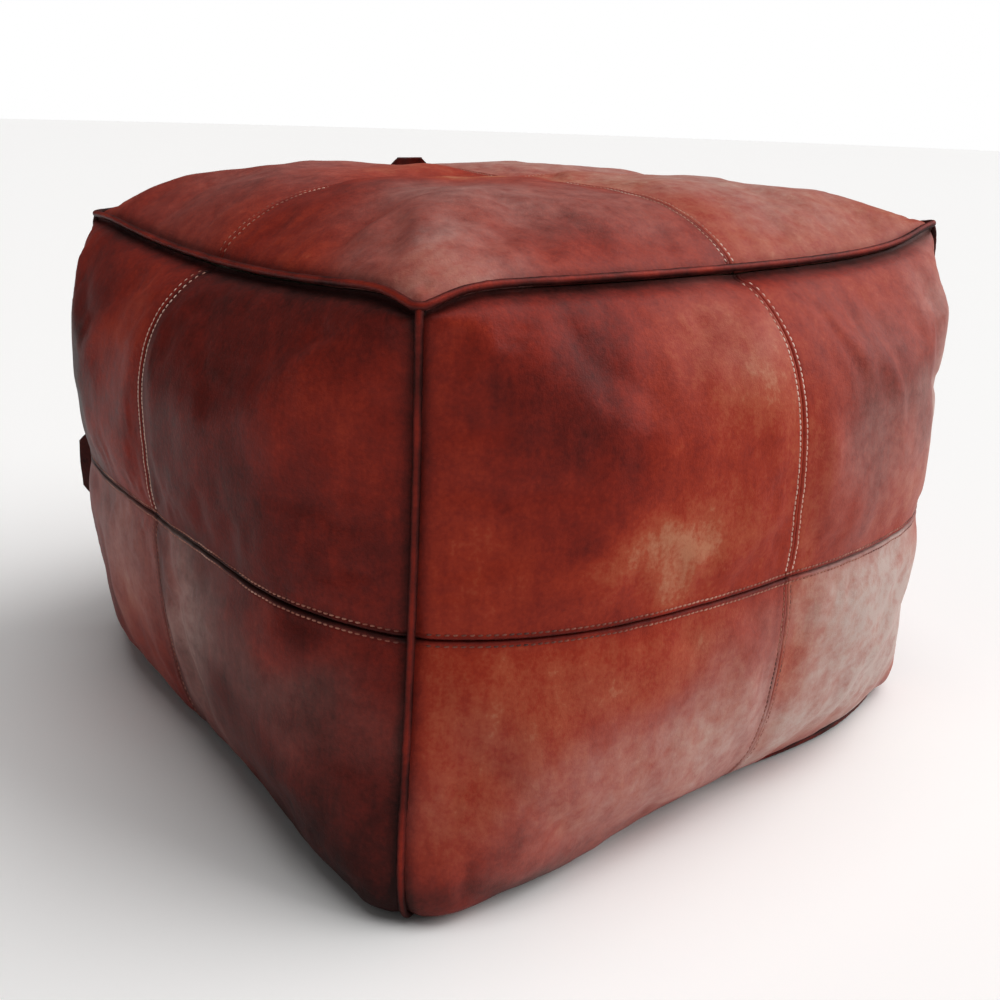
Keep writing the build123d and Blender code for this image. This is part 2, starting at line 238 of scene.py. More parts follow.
# soft creases, in mm: from, to (across and up the face), then width and depth
creases = {
    "front": [
        (30, 325, 62, 262, 4.0, 0.9),
        (60, 326, 85, 240, 5.0, 1.0),
        (85, 326, 112, 225, 5.0, 0.9),
        (155, 322, 165, 200, 9.0, 2.0),
        (190, 320, 195, 215, 6.0, 1.4),
        (60, 60, 150, 135, 9.0, 1.6),
        (95, 45, 180, 105, 8.0, 1.4),
        (-165, 50, -60, 26, 9.0, 1.0),
    ],
    "left": [
        (20, 150, 55, 30, 9.0, 2.4),
        (0, 140, 30, 100, 6.0, 1.0),
        (-120, 120, -100, 40, 9.0, 1.3),
        (40, 325, 25, 270, 7.0, 0.9),
        (180, 318, 150, 300, 7.0, 1.6),
    ],
    "top": [
        (-200, -170, -165, -120, 7.0, 1.8),
        (-170, -200, -120, -168, 7.0, 1.8),
        (-205, -120, -150, -85, 9.0, 1.2),
    ],
    "right": [
        (-60, 322, -85, 245, 6.0, 1.2),
        (120, 140, 60, 50, 9.0, 1.8),
        (160, 320, 150, 230, 8.0, 1.5),
    ],
    "back": [
        (-90, 322, -70, 250, 6.0, 1.2),
        (-140, 130, -70, 60, 9.0, 1.9),
        (150, 322, 120, 260, 7.0, 1.4),
    ],
}


def seamDepth(away, kind):
    # section across a topstitched seam: turned edge, allowance ridge, stitch row, then the drawn-in face
    look = seamLook
    turned = np.clip(1 - away / kind["turn"], 0, 1)
    ridge, ridgeAt, ridgeWidth = look["ridge"]
    rowDepth, rowWidth = look["row"]
    depth = -kind["groove"] * (1 - np.sqrt(1 - turned**2))
    depth += ridge * bell(away - ridgeAt, ridgeWidth)
    depth -= rowDepth * bell(away - look["stitchOffset"], rowWidth)
    return depth - kind["pullIn"] * bell(away, look["pullWidth"])


def creaseDepth(face, across, up):
    # each crease is a soft valley with a low roll on both sides
    depth = np.zeros(len(across))
    for crease in creases.get(face, []):
        x0, y0, x1, y1, width, deep = mm * np.array(crease)
        run = np.hypot(x1 - x0, y1 - y0)
        along = ((across - x0) * (x1 - x0) + (up - y0) * (y1 - y0)) / run**2
        aside = ((across - x0) * (y1 - y0) - (up - y0) * (x1 - x0)) / run
        aside = aside + 0.25 * width * np.sin(9 * along)
        fade = 1 / (1 + np.exp((np.abs(along - 0.5) - 0.42) * 16))
        rolls = bell(np.abs(aside) - 1.9 * width, width)
        depth += deep * fade * (0.45 * rolls - bell(aside, width))
    return depth


def puckers(away, along, gather, seed):
    deep, spacing, reach, start, drawnOut = gather
    line = np.column_stack((along, away * drawnOut, np.zeros_like(along)))
    return deep * np.exp(-away / reach) * np.clip(away / start, 0, 1) * softNoise(line, spacing, seed)


def surfaceDetail(face, across, up, points):
    # how far the leather stands off the smooth form, along its normal
    look = seamLook
    seed = sorted([*sideFaces, "top", "base"]).index(face) * 10
    if face == "top":
        seams = [(np.abs(across), up, look["flat"]), (np.abs(up), across, look["flat"])]
        rims = [(half - np.abs(across), up, look["rim"]), (half - np.abs(up), across, look["rim"])]
    else:
        seams = [(np.abs(across), up, look["flat"]), (np.abs(up - seam), across, look["level"])]
        rims = [
            (half - np.abs(across), up, look["corner"]),
            (topLine - up, across, look["under"]),
            (up - baseLine, across, look["foot"]),
        ]
    depth = np.zeros(len(across))
    calm = np.ones(len(across))
    for n, (away, along, kind) in enumerate(seams):
        depth += seamDepth(away, kind) + puckers(away, along, look["atSeam"], seed + n)
        calm *= 1 - look["seamCalm"][0] * np.exp(-away / look["seamCalm"][1])
    turnedIn = np.zeros(len(across))
    share, shareWidth = look["weltReturn"]
    for n, (away, along, (deep, width)) in enumerate(rims):
        away = np.clip(away, 0, None)
        turn = deep * bell(away, width) * (1 - share * bell(away, shareWidth))
        turnedIn = np.maximum(turnedIn, turn)
        depth += puckers(away, along, look["atWelt"], seed + 4 + n)
        calm *= 1 - look["weltCalm"][0] * np.exp(-away / look["weltCalm"][1])
    if face != "top":
        cheek = look["cheek"]
        beside = bell(half - np.abs(across) - cheek["away"], cheek["width"])
        depth += cheek["out"] * beside * bell(up - baseLine - cheek["up"], cheek["height"])
    for n, (high, size) in enumerate(look["lumps"]):
        depth += calm * high * softNoise(points, size, seed + 7 + n)
    return depth - turnedIn + creaseDepth(face, across, up)


# cloth run: every panel is a slightly slack sheet, held at its seams and blown out by the filling
clothLook = {
    "cell": 6 * mm,
    "slack": 0.035,
    "pressure": 3.0,
    "mass": 0.35,
    "stiffness": 18,
    "bending": 0.6,
    "quality": 6,
    "frames": 20,
    "smooth": 7,  # cells over which the even part of the swelling is taken away, since the form holds it
    "cap": 5 * mm,
    "share": 0.6,
    "fade": 26 * mm,  # how far from a seam the waves reach their height
}
sideSpans = {-1: (-half, 0.0), 1: (0.0, half)}
levelSpans = {-1: (baseLine, seam), 1: (seam, topLine)}
clothWaves = {}


def panelKeys():
    for face in [*sideFaces, "top"]:
        for hand in (-1, 1):
            for level in (-1, 1):
                yield face, hand, level


def evenPart(field, cells):
    # a running mean both ways, taken twice
    wide = 2 * cells + 1
    for _ in range(2):
        for axis in (0, 1):
            margins = [(cells, cells) if axis == n else (0, 0) for n in (0, 1)]
            total = np.cumsum(np.pad(field, margins, mode="edge"), axis=axis)
            total = np.insert(total, 0, 0, axis=axis)
            ends = np.arange(field.shape[axis])
            field = (np.take(total, ends + wide, axis=axis) - np.take(total, ends, axis=axis)) / wide
    return field


def runCloth():
    points, normals, faces, pins, shapes = [], [], [], [], {}
    count = 0
    for face, hand, level in panelKeys():
        upSpan = sideSpans[level] if face == "top" else levelSpans[level]
        columns = round((sideSpans[hand][1] - sideSpans[hand][0]) / clothLook["cell"]) + 1
        rows = round((upSpan[1] - upSpan[0]) / clothLook["cell"]) + 1
        a, b = np.meshgrid(np.linspace(*sideSpans[hand], columns), np.linspace(*upSpan, rows))
        place, normal, _, _ = formFrame(coverForm, face, a.ravel(), b.ravel())
        grid = np.arange(columns * rows).reshape(rows, columns)
        border = np.concatenate((grid[0], grid[-1], grid[:, 0], grid[:, -1]))
        cells = (grid[:-1, :-1], grid[:-1, 1:], grid[1:, 1:], grid[1:, :-1])
        points.append(place)
        normals.append(normal)
        faces.append(np.stack(cells, axis=-1).reshape(-1, 4) + count)
        pins.append(np.unique(border) + count)
        shapes[face, hand, level] = (count, rows, columns)
        count += len(place)
    mesh = bpy.data.meshes.new("clothRun")
    mesh.from_pydata(np.concatenate(points).tolist(), [], np.concatenate(faces).tolist())
    sheet = bpy.data.objects.new("clothRun", mesh)
    bpy.context.collection.objects.link(sheet)
    held = sheet.vertex_groups.new(name="held")
    held.add(np.concatenate(pins).tolist(), 1.0, "REPLACE")
    modifier = sheet.modifiers.new("Cloth", "CLOTH")
    cloth = modifier.settings
    cloth.quality = clothLook["quality"]
    cloth.mass = clothLook["mass"]
    cloth.tension_stiffness = clothLook["stiffness"]
    cloth.compression_stiffness = clothLook["stiffness"]
    cloth.shear_stiffness = clothLook["stiffness"] / 2
    cloth.bending_stiffness = clothLook["bending"]
    cloth.use_pressure = True
    cloth.uniform_pressure_force = clothLook["pressure"]
    cloth.shrink_min = -clothLook["slack"]
    cloth.shrink_max = -clothLook["slack"]
    cloth.vertex_group_mass = "held"
    cloth.effector_weights.gravity = 0
    modifier.collision_settings.use_collision = False
    modifier.point_cache.frame_start = 1
    modifier.point_cache.frame_end = clothLook["frames"]
    scene = bpy.context.scene
    for number in range(1, clothLook["frames"] + 1):
        scene.frame_set(number)
    settled = sheet.evaluated_get(bpy.context.evaluated_depsgraph_get()).data
    moved = np.empty(count * 3)
    settled.vertices.foreach_get("co", moved)
    swollen = ((moved.reshape(-1, 3) - np.concatenate(points)) * np.concatenate(normals)).sum(axis=1)
    for key, (start, rows, columns) in shapes.items():
        field = swollen[start : start + rows * columns].reshape(rows, columns)
        wave = field - evenPart(field, clothLook["smooth"])
        clothWaves[key] = clothLook["share"] * np.clip(wave, -clothLook["cap"], clothLook["cap"])
    scene.frame_set(1)
    bpy.data.objects.remove(sheet)
    bpy.data.meshes.remove(mesh)
    highest = max(np.abs(wave).max() for wave in clothWaves.values())
    print("cloth run ready, waves up to", round(highest / mm, 2), "mm")


def clothDepth(face, across, up):
    # the wave height from the cloth run at a place on a face
    depth = np.zeros(len(across))
    middle = 0.0 if face == "top" else seam
    for key, wave in clothWaves.items():
        if key[0] != face:
            continue
        left, right = sideSpans[key[1]]
        low, high = (sideSpans if face == "top" else levelSpans)[key[2]]
        chosen = (np.where(across < 0, -1, 1) == key[1]) & (np.where(up < middle, -1, 1) == key[2])
        rows, columns = wave.shape
        a = np.clip((across[chosen] - left) / (right - left), 0, 1) * (columns - 1.001)
        b = np.clip((up[chosen] - low) / (high - low), 0, 1) * (rows - 1.001)
        i, j = a.astype(int), b.astype(int)
        # eased between cells, so that no facets show
        a = (a - i) ** 2 * (3 - 2 * (a - i))
        b = (b - j) ** 2 * (3 - 2 * (b - j))
        near = wave[j, i] * (1 - a) + wave[j, i + 1] * a
        far = wave[j + 1, i] * (1 - a) + wave[j + 1, i + 1] * a
        depth[chosen] = near * (1 - b) + far * b
    upRim = half - np.abs(up) if face == "top" else np.minimum(topLine - up, up - baseLine)
    rim = np.minimum(half - np.abs(across), upRim)
    near = np.minimum(np.abs(across), np.abs(up - middle))
    return depth * smoothStep(near / clothLook["fade"]) * smoothStep(rim / clothLook["fade"])


runCloth()


def coverPoint(face, across, up):
    # a place on the outside of the leather, with its normal and directions
    points, normal, alongA, alongB = formFrame(coverForm, face, across, up)
    depth = surfaceDetail(face, across, up, points) + clothDepth(face, across, up)
    return points + normal * depth[:, None], normal, alongA, alongB


# mesh helpers
def activate(piece):
    bpy.ops.object.select_all(action="DESELECT")
    piece.select_set(True)
    bpy.context.view_layer.objects.active = piece


def getPoints(piece):
    points = np.empty(len(piece.data.vertices) * 3)
    piece.data.vertices.foreach_get("co", points)
    return points.reshape(-1, 3)


def setPoints(piece, points):
    piece.data.vertices.foreach_set("co", points.ravel())
    piece.data.update()


def graded(fraction, pack):
    # packs mesh rows towards both ends, where the leather turns in
    return fraction - pack * np.sin(2 * pi * fraction) / (2 * pi)


def applyModifier(piece, kind, **settings):
    activate(piece)
    modifier = piece.modifiers.new(kind.title(), kind)
    for key, value in settings.items():
        setattr(modifier, key, value)
    bpy.ops.object.modifier_apply(modifier=modifier.name)


def smoothShade(piece, angle=50):
    activate(piece)
    bpy.ops.object.shade_smooth_by_angle(angle=radians(angle))


def editAll(piece, step, **settings):
    # one edit mode operator on the whole mesh
    activate(piece)
    bpy.ops.object.mode_set(mode="EDIT")
    bpy.ops.mesh.select_all(action="SELECT")
    step(**settings)
    bpy.ops.object.mode_set(mode="OBJECT")


def linkPiece(name, data):
    piece = bpy.data.objects.new(name, data)
    bpy.context.collection.objects.link(piece)
    activate(piece)
    return piece


def sweepTube(name, points, radius, rounding, closed=False, caps=True):
    # a round tube along a line of points, turned into a mesh
    curve = bpy.data.curves.new(name, "CURVE")
    curve.dimensions = "3D"
    curve.twist_mode = "MINIMUM"
    curve.bevel_depth = radius
    curve.bevel_resolution = rounding
    curve.use_fill_caps = caps
    spline = curve.splines.new("POLY")
    spline.points.add(len(points) - 1)
    spline.points.foreach_set("co", np.column_stack((points, np.ones(len(points)))).ravel())
    spline.use_cyclic_u = closed
    linkPiece(name, curve)
    bpy.ops.object.convert(target="MESH")
    return bpy.context.object


def addGrid(name, columns, rows):
    # a flat sheet whose corners are 0,0 and 1,1
    bpy.ops.mesh.primitive_grid_add(x_subdivisions=columns, y_subdivisions=rows, size=1, location=(0, 0, 0))
    piece = bpy.context.object
    piece.name = name
    spots = getPoints(piece)[:, :2] + 0.5
    return piece, spots[:, 0], spots[:, 1]


def setAttribute(piece, name, values):
    attribute = piece.data.attributes.new(name, "FLOAT", "POINT")
    attribute.data.foreach_set("value", values.astype(np.float32))


def finishPiece(piece, material, slotName, body, *nodes):
    piece.data.materials.clear()
    piece.data.materials.append(material)
    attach(piece, body)
    if nodes:
        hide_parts(*nodes)


# materials
def hexColour(code):
    # sRGB hex to linear
    parts = [int(code[i : i + 2], 16) / 255 for i in (1, 3, 5)]
    return tuple(c / 12.92 if c <= 0.04045 else ((c + 0.055) / 1.055) ** 2.4 for c in parts) + (1.0,)


def addNode(tree, kind, values=(), links=(), **settings):
    node = tree.nodes.new("ShaderNode" + kind)
    for key, value in settings.items():
        setattr(node, key, value)
    for key, value in dict(values).items():
        node.inputs[key].default_value = value
    for key, source in dict(links).items():
        tree.links.new(source, node.inputs[key])
    return node


def plugIn(tree, shader, sources):
    for socket, source in sources.items():
        tree.links.new(source, shader.inputs[socket])


def newMaterial(name):
    material = bpy.data.materials.new(name)
    material.use_nodes = True
    tree = material.node_tree
    tree.nodes.clear()
    out = addNode(tree, "OutputMaterial")
    shader = addNode(tree, "BsdfPrincipled")
    tree.links.new(shader.outputs[0], out.inputs[0])
    return material, tree, shader


def setRamp(node, stops):
    ramp = node.color_ramp
    while len(ramp.elements) < len(stops):
        ramp.elements.new(1.0)
    for element, (place, code) in zip(ramp.elements, stops):
        element.position = place
        element.color = hexColour(code)


# Vegetable-tanned sheepskin, rubbed with dye by hand and glazed with wax: cloudy browns and reds, darker
# where the dye gathered and where shade is painted into the seams and beside the welts, with a soft wax shine
# helped by a painted greyish sheen, and a fine pebbled grain.
dyedLeather = {
    "stops": [
        (0.00, "#2a0f0d"), (0.18, "#481915"), (0.36, "#66201a"), (0.54, "#84281d"),
        (0.70, "#9c3422"), (0.84, "#a94c33"), (1.00, "#b87558"),
    ],
    "cloudSize": 55 * mm,
    "mottleSize": 11 * mm,
    "speckSize": 2.4 * mm,
    "grainSize": 1.1 * mm,
    "creaseSize": 2.2 * mm,
    "streak": (7 * mm, 55 * mm),  # width and length of the marks that the rubbing cloth leaves
    # how much each of them darkens and lightens the dye
    "strengths": {"cloud": 0.42, "mottle": 0.34, "speck": 0.24, "streak": 0.22},
    "roughness": (0.40, 0.56),
    "specular": 0.06,
    "coat": (0.03, 0.28),  # thin wax: weight and roughness
    # colour of the painted sheen, a painted reflection on the glossy leather
    "paintedSheenColour": "#c0a9a1",
    # relief: strength and depth. The grain is about a millimetre, finer than shows from across a room
    "creaseRelief": (0.35, 0.12 * mm),
    "grainRelief": (0.6, 0.14 * mm),
    "mottleRelief": (0.6, 0.8 * mm),
}


def makeLeather(name, look, tone=None):
    # with no tone given, the mesh's own dye and its painted sheen are read
    material, tree, shader = newMaterial(name)
    place = {"Vector": addNode(tree, "TexCoord").outputs["Object"]}
    cloudValues = {"Scale": 1 / look["cloudSize"], "Detail": 4.0, "Roughness": 0.6, "Distortion": 0.4}
    mottleValues = {"Scale": 1 / look["mottleSize"], "Detail": 5.0, "Roughness": 0.65}
    wide, long = look["streak"]
    stretched = addNode(tree, "Mapping", {"Scale": (1 / wide, 1 / wide, 1 / long)}, place)
    along = {"Vector": stretched.outputs[0]}
    marks = {
        "cloud": addNode(tree, "TexNoise", cloudValues, place),
        "mottle": addNode(tree, "TexNoise", mottleValues, place),
        "speck": addNode(tree, "TexNoise", {"Scale": 1 / look["speckSize"], "Detail": 2.0}, place),
        "streak": addNode(tree, "TexNoise", {"Scale": 1.0, "Detail": 3.0, "Roughness": 0.6}, along),
    }
    mottle = marks["mottle"].outputs["Fac"]
    grain = addNode(tree, "TexVoronoi", {"Scale": 1 / look["grainSize"], "Randomness": 1.0}, place)
    crease = addNode(tree, "TexVoronoi", {"Scale": 1 / look["creaseSize"]}, place, feature="DISTANCE_TO_EDGE")
    if tone is None:
        start = addNode(tree, "Attribute", attribute_name="dye").outputs["Fac"]
    else:
        start = addNode(tree, "Value").outputs[0]
        start.default_value = tone
    for mark, strength in look["strengths"].items():
        shift = addNode(tree, "Math", {1: -0.5}, {0: marks[mark].outputs["Fac"]}, operation="ADD")
        tint = {0: shift.outputs[0], 2: start}
        start = addNode(tree, "Math", {1: strength}, tint, operation="MULTIPLY_ADD").outputs[0]
    dye = addNode(tree, "ValToRGB", links={"Fac": start})
    setRamp(dye, look["stops"])
    colour = dye.outputs["Color"]
    # the pale greyish mix is a painted sheen: painted reflection of the bright surroundings
    if tone is None:
        paintedSheen = addNode(tree, "Attribute", attribute_name="paintedSheen")
        uneven = addNode(tree, "Math", {1: 1.5}, {0: mottle}, operation="MULTIPLY")
        both = {0: paintedSheen.outputs["Fac"], 1: uneven.outputs[0]}
        amount = addNode(tree, "Math", {}, both, operation="MULTIPLY", use_clamp=True)
        blend = {"Factor": amount.outputs[0], "A": colour}
        mix = addNode(tree, "Mix", {"B": hexColour(look["paintedSheenColour"])}, blend, data_type="RGBA")
        colour = mix.outputs["Result"]
    low, high = look["roughness"]
    rough = addNode(tree, "MapRange", {"To Min": low, "To Max": high}, {"Value": mottle})
    shader.inputs["Specular IOR Level"].default_value = look["specular"]
    shader.inputs["Coat Weight"].default_value = look["coat"][0]
    shader.inputs["Coat Roughness"].default_value = look["coat"][1]
    creaseWall = addNode(tree, "MapRange", {"From Max": 0.12}, {"Value": crease.outputs["Distance"]})
    under = {}
    for relief, height in (
        ("creaseRelief", creaseWall.outputs["Result"]),
        ("grainRelief", grain.outputs["Distance"]),
        ("mottleRelief", mottle),
    ):
        strength, deep = look[relief]
        bump = addNode(tree, "Bump", {"Strength": strength, "Distance": deep}, {"Height": height, **under})
        under = {"Normal": bump.outputs[0]}
    plugIn(tree, shader, {"Base Color": colour, "Roughness": rough.outputs["Result"], **under})
    return material


def makeThread(name, code, darkCode, twist):
    # twisted cotton: matt, a little lighter on the tops of its twist
    material, tree, shader = newMaterial(name)
    place = {"Vector": addNode(tree, "TexCoord").outputs["Object"]}
    noise = addNode(tree, "TexNoise", {"Scale": 1 / twist, "Detail": 3.0}, place).outputs["Fac"]
    ramp = addNode(tree, "ValToRGB", links={"Fac": noise})
    setRamp(ramp, [(0.3, darkCode), (0.65, code)])
    bump = addNode(tree, "Bump", {"Strength": 0.6, "Distance": 0.1 * mm}, {"Height": noise})
    plugIn(tree, shader, {"Base Color": ramp.outputs["Color"], "Normal": bump.outputs[0]})
    shader.inputs["Roughness"].default_value = 0.7
    return material


def makeWaxedThread():
    # heavy waxed cotton: pale where it is worn, stained by the dye where it isn't
    material, tree, shader = newMaterial("waxedThread")
    place = {"Vector": addNode(tree, "TexCoord").outputs["Object"]}
    noise = addNode(tree, "TexNoise", {"Scale": 1 / (0.7 * mm), "Detail": 3.0}, place).outputs["Fac"]
    pale = addNode(tree, "Attribute", attribute_name="pale").outputs["Fac"]
    shift = addNode(tree, "Math", {1: -0.5}, {0: noise}, operation="ADD")
    tone = addNode(tree, "Math", {1: 0.35}, {0: shift.outputs[0], 2: pale}, operation="MULTIPLY_ADD")
    ramp = addNode(tree, "ValToRGB", links={"Fac": tone.outputs[0]})
    setRamp(ramp, [(0.0, "#4a1d16"), (0.3, "#8a4431"), (0.65, "#bb7f69"), (1.0, "#e6c4b4")])
    bump = addNode(tree, "Bump", {"Strength": 0.6, "Distance": 0.1 * mm}, {"Height": noise})
    plugIn(tree, shader, {"Base Color": ramp.outputs["Color"], "Normal": bump.outputs[0]})
    shader.inputs["Roughness"].default_value = 0.6
    return material


def makeWeave(name, code, darkCode, pitch):
    # plain weave: threads over and under at the stated pitch
    material, tree, shader = newMaterial(name)
    place = {"Vector": addNode(tree, "TexCoord").outputs["Object"]}
    values = {"Scale": 1 / (pitch * 2 * pi), "Distortion": 0.6, "Detail": 1.0}
    warp = addNode(tree, "TexWave", values, place, bands_direction="X").outputs["Fac"]
    weft = addNode(tree, "TexWave", values, place, bands_direction="Y").outputs["Fac"]
    height = addNode(tree, "Math", {}, {0: warp, 1: weft}, operation="MULTIPLY").outputs[0]
    ramp = addNode(tree, "ValToRGB", links={"Fac": height})
    setRamp(ramp, [(0.1, darkCode), (0.7, code)])
    bump = addNode(tree, "Bump", {"Strength": 0.7, "Distance": 0.2 * mm}, {"Height": height})
    plugIn(tree, shader, {"Base Color": ramp.outputs["Color"], "Normal": bump.outputs[0]})
    shader.inputs["Roughness"].default_value = 0.85
    return material


def makeBrass(name):
    # cast brass with an antique finish: patches of brown patina, rubbed bright between them
    material, tree, shader = newMaterial(name)
    place = {"Vector": addNode(tree, "TexCoord").outputs["Object"]}
    noise = addNode(tree, "TexNoise", {"Scale": 1 / (1.6 * mm), "Detail": 4.0}, place).outputs["Fac"]
    ramp = addNode(tree, "ValToRGB", links={"Fac": noise})
    setRamp(ramp, [(0.35, "#5b4322"), (0.62, "#a98a4d")])
    rough = addNode(tree, "MapRange", {"To Min": 0.25, "To Max": 0.5}, {"Value": noise}).outputs["Result"]
    bump = addNode(tree, "Bump", {"Strength": 0.3, "Distance": 0.05 * mm}, {"Height": noise}).outputs[0]
    plugIn(tree, shader, {"Base Color": ramp.outputs["Color"], "Roughness": rough, "Normal": bump})
    shader.inputs["Metallic"].default_value = 1.0
    return material


handDyedSheepskin = makeLeather("handDyedSheepskin", dyedLeather)
baseSplitLeather = makeLeather("baseSplitLeather", dyedLeather, tone=0.16)
tabSheepskin = makeLeather("tabSheepskin", dyedLeather, tone=0.16)
waxedThread = makeWaxedThread()
cottonCord = makeThread("twistedCottonCord", "#d8ccb4", "#a89a80", 1.2 * mm)
calico = makeWeave("unbleachedCalico", "#d9d0bc", "#a99f88", 0.9 * mm)
fibreFill = makeThread("packedFibre", "#e4e0d6", "#b8b2a4", 6 * mm)
zipTapeWeave = makeWeave("polyesterTape", "#241c1a", "#0d0a0a", 0.6 * mm)
zipNylon = makeThread("nylonCoil", "#1d1715", "#0f0c0b", 1.0 * mm)
antiqueBrass = makeBrass("antiqueBrass")
print("materials ready")

# cover panels
panelLook = {
    "cell": 2.3 * mm,
    "pack": 0.82,
    "tuck": 0.6 * mm,  # how far short of the edge line a panel stops, hidden by the welt
    "gap": 0.1 * mm,  # half the gap at a seam
    "wander": (10 * mm, 60 * mm),  # how far the edges of a dye patch stray, and over what length
    "mostPaintedSheen": 1.2,
}
# darker along the seams, beside the welts and near the foot: dye gathered in the seams, with painted shade in
# the grooves under and beside the welts and in the gaping level seam; how much darker, over what width
poolAndShade = {
    "upright": (0.08, 3.0 * mm),
    "level": (0.35, 2.4 * mm),
    "topSeam": (0.05, 2.4 * mm),
    "rim": (0.30, 3.2 * mm),
    "underWelt": (0.50, 6.5 * mm),
    "corner": (0.28, 4.0 * mm),
    "foot": (0.35, 12 * mm),
}
# tone: 0 is nearly black, 1 is pale tan. patches, in mm: across, up, width, height, then how much lighter.
# the second list: the same, for a pale greyish painted sheen, a painted reflection of the bright surroundings
# on the glossy leather
dyes = {
    "front_panel_upper_left": {
        "tone": 0.62,
        "patches": [
            (-105, 200, 35, 22, 0.32), (-145, 300, 45, 30, -0.20), (-190, 200, 30, 30, 0.08),
            (-185, 280, 40, 30, -0.08), (-142, 245, 36, 36, -0.22), (-75, 250, 40, 60, 0.10),
            (-20, 290, 50, 40, 0.20), (-60, 190, 50, 25, 0.10), (-10, 230, 20, 50, 0.08),
        ],
        "paintedSheen": [(-20, 300, 50, 30, 0.14)],
    },
    "front_panel_upper_right": {
        "tone": 0.70,
        "patches": [
            (60, 240, 30, 60, -0.12), (50, 300, 40, 30, -0.06), (110, 255, 40, 50, -0.22),
            (150, 200, 60, 30, 0.12), (195, 250, 20, 90, 0.16),
        ],
        "paintedSheen": [(200, 240, 40, 90, 0.80), (150, 230, 50, 60, 0.34), (70, 225, 45, 70, 0.26)],
    },
    "front_panel_lower_left": {
        "tone": 0.66,
        "patches": [
            (-150, 130, 60, 30, 0.10), (-40, 80, 40, 40, 0.16), (-190, 30, 60, 18, -0.35),
            (-80, 130, 40, 20, 0.12), (-110, 60, 50, 30, 0.10), (-180, 80, 40, 40, 0.10),
        ],
        "paintedSheen": [(-20, 65, 55, 55, 0.65), (-110, 60, 70, 40, 0.42)],
    },
    "front_panel_lower_right": {
        "tone": 0.85,
        "patches": [(50, 120, 40, 40, 0.05), (120, 60, 70, 30, -0.10)],
        "paintedSheen": [
            (20, 40, 30, 30, 0.40), (70, 120, 60, 50, 0.98), (160, 95, 70, 70, 1.20),
            (90, 45, 90, 30, 0.90),
        ],
    },
    "left_panel_upper_right": {
        "tone": 0.30,
        "patches": [
            (100, 210, 60, 60, -0.02), (190, 190, 30, 90, 0.12), (185, 275, 35, 40, 0.24),
            (40, 300, 40, 30, 0.08),
        ],
        "paintedSheen": [],
    },
    "left_panel_upper_left": {
        "tone": 0.54,
        "patches": [
            (-140, 220, 55, 90, -0.42), (-60, 280, 45, 40, 0.16), (-200, 250, 20, 90, 0.10),
            (-30, 220, 30, 60, -0.10),
        ],
        "paintedSheen": [],
    },
    "left_panel_lower_right": {
        "tone": 0.32,
        "patches": [
            (30, 110, 30, 40, 0.22), (170, 140, 40, 20, 0.14), (130, 50, 60, 30, -0.08),
            (200, 30, 60, 40, -0.22),
        ],
        "paintedSheen": [(40, 105, 40, 55, 0.58), (130, 110, 70, 30, 0.14)],
    },
    "left_panel_lower_left": {
        "tone": 0.48,
        "patches": [(-60, 90, 35, 45, 0.34), (-150, 130, 40, 20, 0.05)],
        "paintedSheen": [(-60, 110, 60, 50, 0.42)],
    },
    "top_panel_front_left": {
        "tone": 0.62,
        "patches": [
            (-40, -30, 50, 40, 0.35), (-160, -30, 60, 40, -0.14), (-120, -80, 60, 50, -0.04),
            # the small pale spot in the front left corner, the last patch here, is a painted highlight
            (-70, -190, 80, 40, -0.10), (-195, -195, 25, 25, 0.16),
        ],
        "paintedSheen": [(-120, -110, 50, 50, 0.34), (-185, -180, 40, 40, 0.44), (-40, -150, 60, 60, 0.22)],
    },
    "top_panel_back_left": {
        "tone": 0.60,
        "patches": [(-150, 80, 80, 60, -0.06), (-50, 60, 50, 50, 0.18)],
        "paintedSheen": [(-40, 150, 70, 70, 0.30), (-140, 80, 80, 80, 0.16)],
    },
    "top_panel_front_right": {
        "tone": 0.80,
        "patches": [(60, -160, 60, 40, -0.06), (30, -60, 40, 50, 0.08)],
        "paintedSheen": [(110, -100, 100, 100, 0.65)],
    },
    "top_panel_back_right": {
        "tone": 0.74,
        "patches": [(60, 60, 60, 60, 0.06)],
        "paintedSheen": [(100, 60, 110, 100, 0.60), (30, 150, 80, 70, 0.36)],
    },
    "back_panel_upper_left": {"tone": 0.46, "patches": [(-110, 230, 60, 60, 0.12)], "paintedSheen": []},
    "back_panel_upper_right": {"tone": 0.62, "patches": [(120, 250, 60, 40, -0.16)], "paintedSheen": []},
    "back_panel_lower_left": {
        "tone": 0.58,
        "patches": [(-60, 90, 50, 40, 0.12)],
        "paintedSheen": [(-60, 90, 50, 40, 0.20)],
    },
    "back_panel_lower_right": {"tone": 0.38, "patches": [(130, 90, 60, 40, 0.14)], "paintedSheen": []},
    "right_panel_upper_left": {"tone": 0.60, "patches": [(-100, 250, 70, 50, -0.14)], "paintedSheen": []},
    "right_panel_upper_right": {"tone": 0.44, "patches": [(100, 220, 60, 60, 0.14)], "paintedSheen": []},
    "right_panel_lower_left": {
        "tone": 0.40,
        "patches": [(-110, 80, 50, 40, 0.12)],
        "paintedSheen": [(-110, 90, 50, 40, 0.25)],
    },
    "right_panel_lower_right": {"tone": 0.64, "patches": [(90, 100, 70, 40, -0.12)], "paintedSheen": []},
}


def patchValue(patches, across, up):
    total = np.zeros(len(across))
    for x, y, width, height, change in patches:
        total += change * bell(across - x * mm, width * mm) * bell(up - y * mm, height * mm)
    return total


# darkens the dye along each seam and welt: gathered dye, and painted shade in the grooves
def pooledDyeAndShade(face, across, up):
    if face == "top":
        lines = {"topSeam": up, "rim": half - np.maximum(np.abs(across), np.abs(up))}
    else:
        lines = {"level": up - seam, "underWelt": topLine - up, "foot": up - baseLine}
        lines["corner"] = half - np.abs(across)
    darker, width = poolAndShade["upright"]
    darkened = -darker * np.exp(-np.abs(across) / width)
    for line, away in lines.items():
        darker, width = poolAndShade[line]
        darkened -= darker * bell(away, width)
    return darkened


